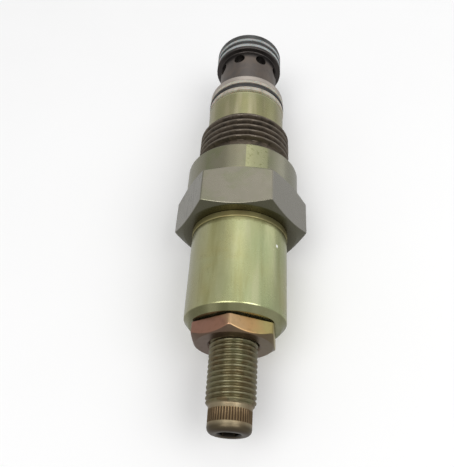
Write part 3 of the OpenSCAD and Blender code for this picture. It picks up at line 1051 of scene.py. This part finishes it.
def screw_finish():
    f, olive, gloss = plated_steel(
        "plated_screw", shade(132, 127, 96), shade(120, 104, 74), shade(120, 122, 94), 0.7, 0.38
    )
    station, radius = f.station, f.radius
    # paler crests: wear together with a painted highlight
    crest = f.value(
        "MULTIPLY",
        f.fade(radius, SCREW_R - 0.25, SCREW_R - 0.02),
        f.fade(station, SCREW_LEAD - 0.2, SCREW_LEAD + 0.6),
    )
    wear = f.fade(f.noise(0.6, 4, 0.6), 0.3, 0.7)
    browned = f.fade(f.noise(0.28, 4, 0.65, warp=0.8), 0.46, 0.62)
    olive = f.lay(olive, shade(112, 90, 60), browned, 0.65)
    grimy = f.fade(f.noise(1.3, 4, 0.7), 0.56, 0.70)
    olive = f.lay(olive, shade(72, 66, 50), grimy, 0.6)
    colour = f.lay(olive, shade(140, 135, 108), crest, wear)
    # painted shade in the thread roots
    root_shade = f.fade(radius, SCREW_R - SCREW_DEPTH, SCREW_R - 0.4, 1.0, 0.0)
    in_thread = f.fade(station, SCREW_LEAD - 0.2, SCREW_LEAD + 0.4)
    colour = f.lay(colour, shade(92, 84, 58), f.value("MULTIPLY", root_shade, in_thread), 0.6)
    plain = f.fade(station, SCREW_LEAD - 0.9, SCREW_LEAD - 0.4, 1.0, 0.0)
    bare = f.mix(f.fade(f.noise(0.3, 4, 0.6), 0.35, 0.7), shade(164, 150, 122), shade(142, 124, 98))
    colour = f.lay(colour, bare, plain, 0.9)
    on_knurl = f.band(station, KNURL_LOW, KNURL_HIGH, 0.1)
    colour = f.lay(colour, shade(116, 94, 64), on_knurl, 0.85)
    # painted shade in the knurl's valleys
    knurl_valley_shade = f.value(
        "MULTIPLY",
        f.band(station, KNURL_LOW + 0.1, KNURL_HIGH - 0.1, 0.1),
        f.fade(radius, SCREW_END_R - 0.16, SCREW_END_R - 0.03, 1.0, 0.0),
    )
    colour = f.lay(colour, shade(66, 50, 34), knurl_valley_shade, 0.9)
    # painted shade over the rounded end
    rim_shade = f.fade(station, SCREW_TIP + 1.0, KNURL_LOW, 1.0, 0.0)
    colour = f.lay(colour, shade(84, 74, 56), rim_shade, 0.9)
    # painted shade on the end face
    end = f.fade(station, SCREW_TIP + 0.1, SCREW_TIP + 0.7, 1.0, 0.0)
    colour = f.mix(end, colour, shade(84, 73, 60))
    # painted shade inside the socket
    inside = f.fade(radius, SOCKET_FLAT + 0.2, SOCKET_FLAT + 0.5, 1.0, 0.0)
    socket_shade = f.value("MULTIPLY", inside, f.fade(station, SCREW_TIP + 6.9, SCREW_TIP + 7.2, 1.0, 0.0))
    colour = f.mix(socket_shade, colour, shade(40, 34, 30))
    return f.set(colour=colour, metal=0.9, rough=gloss, coat=0.1, coat_rough=0.25)


def cage_finish():
    """Dark hardened steel with a brownish tone, ground bright on the bevel."""
    f = Finish("hardened_cage")
    cloud = f.noise(0.14, 4, 0.6, warp=0.6)
    colour = f.mix(f.fade(cloud, 0.35, 0.68), shade(124, 113, 104), shade(110, 104, 100))
    oil = f.fade(f.noise(0.5, 5, 0.6, warp=1.0), 0.55, 0.8)
    colour = f.lay(colour, shade(74, 64, 56), oil, 0.35)
    bevel = f.band(f.station, BODY_GROOVE_END, CAGE_BEVEL_END + 0.2, 0.6)
    colour = f.lay(colour, shade(208, 198, 188), bevel, 0.9)
    # painted shadow on the neck under the nose flange and on the flange's back
    flange_shadow = f.band(f.station, FLANGE_START - 2.2, NOSE_GROOVE_START + 0.3, 0.9)
    colour = f.lay(colour, shade(66, 64, 64), flange_shadow, 0.8)
    front_land = f.fade(f.station, NOSE_GROOVE_END - 0.1, NOSE_GROOVE_END + 0.1)
    wear = f.fade(f.noise(0.35, 5, 0.65, warp=0.8), 0.4, 0.65)
    worn = f.mix(wear, shade(98, 102, 102), shade(74, 74, 74))
    rubbed = f.band(f.radius, INLET_R + 0.2, INLET_R + 1.0, 0.3)
    worn = f.lay(worn, shade(150, 148, 144), rubbed, 0.7)
    colour = f.lay(colour, worn, front_land, 0.85)
    gloss = f.value("MULTIPLY_ADD", f.noise(0.5, 4, 0.6), 0.2, 0.26)
    f.bump([(turning_marks(f, 8), 0.14, 0.02), (f.noise(4, 3, 0.6), 0.08, 0.015)])
    return f.set(colour=colour, metal=0.95, rough=gloss)


def inner_steel(name, colour_a, colour_b, rough):
    f = Finish(name)
    colour = f.mix(f.fade(f.noise(0.2, 4, 0.6, warp=0.5), 0.35, 0.7), colour_a, colour_b)
    gloss = f.value("MULTIPLY_ADD", f.noise(0.8, 3, 0.6), 0.15, rough)
    f.bump([(turning_marks(f, 12), 0.15, 0.015), (f.noise(5, 2, 0.5), 0.06, 0.01)])
    return f.set(colour=colour, metal=1.0, rough=gloss)


def rubber_finish():
    f = Finish("seal_rubber")
    dust = f.fade(f.noise(0.9, 5, 0.65, warp=0.8), 0.5, 0.8)
    colour = f.lay(shade(28, 25, 24), shade(70, 64, 58), dust, 0.5)
    gloss = f.value("MULTIPLY_ADD", f.noise(1.1, 4, 0.6), 0.25, 0.30)
    f.bump([(f.noise(6, 3, 0.6), 0.2, 0.02)])
    return f.set(colour=colour, metal=0.0, rough=gloss, specular=0.6)


def ptfe_finish():
    f = Finish("backup_plastic")
    stain = f.fade(f.noise(0.5, 5, 0.6, warp=0.8), 0.45, 0.75)
    nose = f.lay(shade(160, 164, 162), shade(118, 122, 120), stain, 0.7)
    rear = f.lay(shade(178, 172, 158), shade(136, 128, 112), stain, 0.8)
    colour = f.mix(f.fade(f.station, 34, 44), rear, nose)
    gloss = f.value("MULTIPLY_ADD", f.noise(1.3, 3, 0.6), 0.2, 0.30)
    f.bump([(f.noise(5, 3, 0.6), 0.12, 0.02)])
    return f.set(colour=colour, metal=0.0, rough=gloss, through=0.15, through_depth=0.5 * MM)


body_paint = body_finish()
housing_paint = housing_finish()
washer_paint = washer_finish()
nut_paint = nut_finish()
screw_paint = screw_finish()
cage_paint = cage_finish()
ground_paint = inner_steel("ground_steel", shade(176, 174, 172), shade(160, 158, 154), 0.24)
wire_paint = inner_steel("spring_wire", shade(112, 110, 108), shade(90, 86, 82), 0.34)
brass_paint = inner_steel("turned_brass", shade(214, 178, 106), shade(196, 158, 92), 0.25)
rubber_paint = rubber_finish()
ptfe_paint = ptfe_finish()

SLOT_PAINT = {
    "zinc_plate": body_paint,
    "dark_steel": cage_paint,
    "bare_steel": ground_paint,
    "spring_steel": wire_paint,
    "brass": brass_paint,
    "rubber_black": rubber_paint,
    "ptfe": ptfe_paint,
    "dull_plate": washer_paint,
    "screw_plate": screw_paint,
    "nut_plate": nut_paint,
}
NODE_SLOT = {s["node"]: s["material_slot"] for s in frame["record"]["subparts"]}


def dress(obj, paint, body, node, sharp=38):
    """Gives a new piece its surface and its body, and hides the CAD node that it stands for."""
    finish_surface(obj, sharp)
    obj.data.materials.clear()
    obj.data.materials.append(paint)
    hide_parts(node)
    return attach(obj, body)


# ---------------------------------------------------------------- assembly

dress(build_hex_body(), body_paint, "housing", "hex_body")
dress(build_nose_cage(), cage_paint, "housing", "nose_cage", sharp=32)
dress(build_spring_housing(), housing_paint, "housing", "spring_housing")
dress(build_housing_washer(), washer_paint, "housing", "housing_washer")
dress(build_adjusting_screw(), screw_paint, "adjuster", "adjusting_screw")
dress(build_jam_nut(), nut_paint, "lock_nut", "jam_nut")
dress(build_main_piston(), ground_paint, "main_piston", "main_piston")
dress(build_orifice_plug(), brass_paint, "main_piston", "orifice_plug")

for name, node, groove_r, section_r, station in (
    ("nose_seal", "nose_oring", NOSE_GROOVE_R, NOSE_SEAL_SECTION_R, NOSE_SEAL_AT),
    ("body_seal", "body_oring", BODY_GROOVE_R, BODY_SEAL_SECTION_R, BODY_SEAL_AT),
):
    ring = seal_ring(name, groove_r + section_r + SEAL_GAP, section_r, station)
    dress(ring, rubber_paint, "housing", node)

for name, node, groove_r, outer_r, ends, slit_at in (
    ("nose_guard_front", "nose_backup_front", NOSE_GROOVE_R, NOSE_GUARD_R, NOSE_GUARD_FRONT, -160),
    ("nose_guard_rear", "nose_backup_rear", NOSE_GROOVE_R, NOSE_GUARD_R, NOSE_GUARD_REAR, 110),
    ("body_guard_front", "body_backup_front", BODY_GROOVE_R, BODY_GUARD_R, BODY_GUARD_FRONT, -130),
    ("body_guard_rear", "body_backup_rear", BODY_GROOVE_R, BODY_GUARD_R, BODY_GUARD_REAR, 150),
):
    ring = slit_ring(name, groove_r + 0.02, outer_r, ends, slit_at)
    dress(ring, ptfe_paint, "housing", node)

main_spring = coil_spring(
    "cup_spring",
    MAIN_SPRING_R,
    MAIN_WIRE_R,
    MAIN_SPRING_LOW,
    MAIN_SPRING_HIGH,
    MAIN_SPRING_TURNS,
    part=(0, MAIN_SPRING_TURNS),
)
dress(main_spring, wire_paint, "housing", "main_spring", sharp=60)
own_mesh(main_spring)

# the pilot spring is squeezed from both ends, so it is two pieces that meet where nothing moves
pilot_spring_sizes = (
    PILOT_SPRING_R,
    PILOT_WIRE_R,
    PILOT_SPRING_LOW,
    PILOT_SPRING_HIGH,
    PILOT_SPRING_TURNS,
)
last_turn = PILOT_SPRING_TURNS - 1
outer_turns = coil_spring("pilot_coil_outer", *pilot_spring_sizes, part=(0, last_turn))
dress(outer_turns, wire_paint, "housing", "pilot_spring", sharp=60)
outer_turns.parent = None
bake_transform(outer_turns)
inner_turn = coil_spring(
    "pilot_coil_inner", *pilot_spring_sizes, part=(last_turn, PILOT_SPRING_TURNS)
)
dress(inner_turn, wire_paint, "housing", "pilot_spring", sharp=60)
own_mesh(inner_turn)

for node, obj in frame["nodes"].items():
    if not obj.hide_render:
        obj.data.materials.clear()
        obj.data.materials.append(SLOT_PAINT[NODE_SLOT[node]])

# ---------------------------------------------------------------- floor, light and camera


def build_floor():
    """A pale table top that touches the hexagon's lowest flat."""
    half = 2.0
    floor_z = -HEX_FLAT * MM
    corners = [(-half, -half), (half, -half), (half, half), (-half, half)]
    mesh = bpy.data.meshes.new("floor")
    mesh.from_pydata([(x, y, floor_z) for x, y in corners], [], [(0, 1, 2, 3)])
    floor = bpy.data.objects.new("floor", mesh)
    bpy.context.scene.collection.objects.link(floor)
    f = Finish("pale_floor")
    tone = f.mix(f.noise(0.02, 2, 0.5), (0.90, 0.90, 0.90), (0.93, 0.93, 0.93))
    floor.data.materials.append(f.set(colour=tone, metal=0.0, rough=0.9, specular=0.2))
    floor.visible_glossy = False  # its white would wash out the metal


def soft_light(name, place, size, power):
    """A rectangular soft light at place, in metres, that faces the frame's origin."""
    data = bpy.data.lights.new(name, "AREA")
    data.shape = "RECTANGLE"
    data.size, data.size_y = size
    data.energy = power
    light = bpy.data.objects.new(name, data)
    bpy.context.scene.collection.objects.link(light)
    turn = (-Vector(place)).to_track_quat("-Z", "Y").to_matrix()
    light.matrix_world = Matrix.Translation(place) @ turn.to_4x4()


def build_world(strength):
    """Even white light from all round."""
    world = bpy.data.worlds.new("studio")
    world.use_nodes = True
    background = world.node_tree.nodes["Background"]
    background.inputs["Color"].default_value = (1, 1, 1, 1)
    background.inputs["Strength"].default_value = strength
    bpy.context.scene.world = world
    bpy.context.scene.view_settings.view_transform = "Standard"


def build_camera():
    """The camera stands close above the adjusting screw and looks down along the valve."""
    tip = (SCREW_TIP - THREAD_MIDDLE) * MM
    aside, along, above = CAMERA_FROM_TIP
    place = Vector((aside, tip + along, above))
    forward = Vector(CAMERA_FORWARD).normalized()
    right = forward.cross(Vector(CAMERA_UP)).normalized()
    up = right.cross(forward)
    data = bpy.data.cameras.new("camera")
    data.sensor_width = 36
    data.lens = CAMERA_LENS
    data.clip_start = 0.005
    camera = bpy.data.objects.new("camera", data)
    bpy.context.scene.collection.objects.link(camera)
    turn = Matrix((right, up, -forward)).transposed()
    camera.matrix_world = Matrix.Translation(place) @ turn.to_4x4()
    bpy.context.scene.camera = camera


build_floor()
soft_light("ceiling", place=(0.22, 0.50, 0.66), size=(1.30, 0.60), power=0.85)
soft_light("window", place=(0.06, 0.48, 0.70), size=(0.34, 0.40), power=0.14)
soft_light("key", place=(-0.20, -0.25, 0.75), size=(0.55, 0.55), power=2.45)
soft_light("fill", place=(0.45, -0.20, 0.65), size=(0.50, 0.50), power=2.2)
soft_light("low", place=(0.07, 0.80, -0.05), size=(0.22, 0.14), power=0.11)
soft_light("side", place=(0.72, 0.50, 0.12), size=(0.34, 0.46), power=0.22)
build_world(strength=0.48)
build_camera()
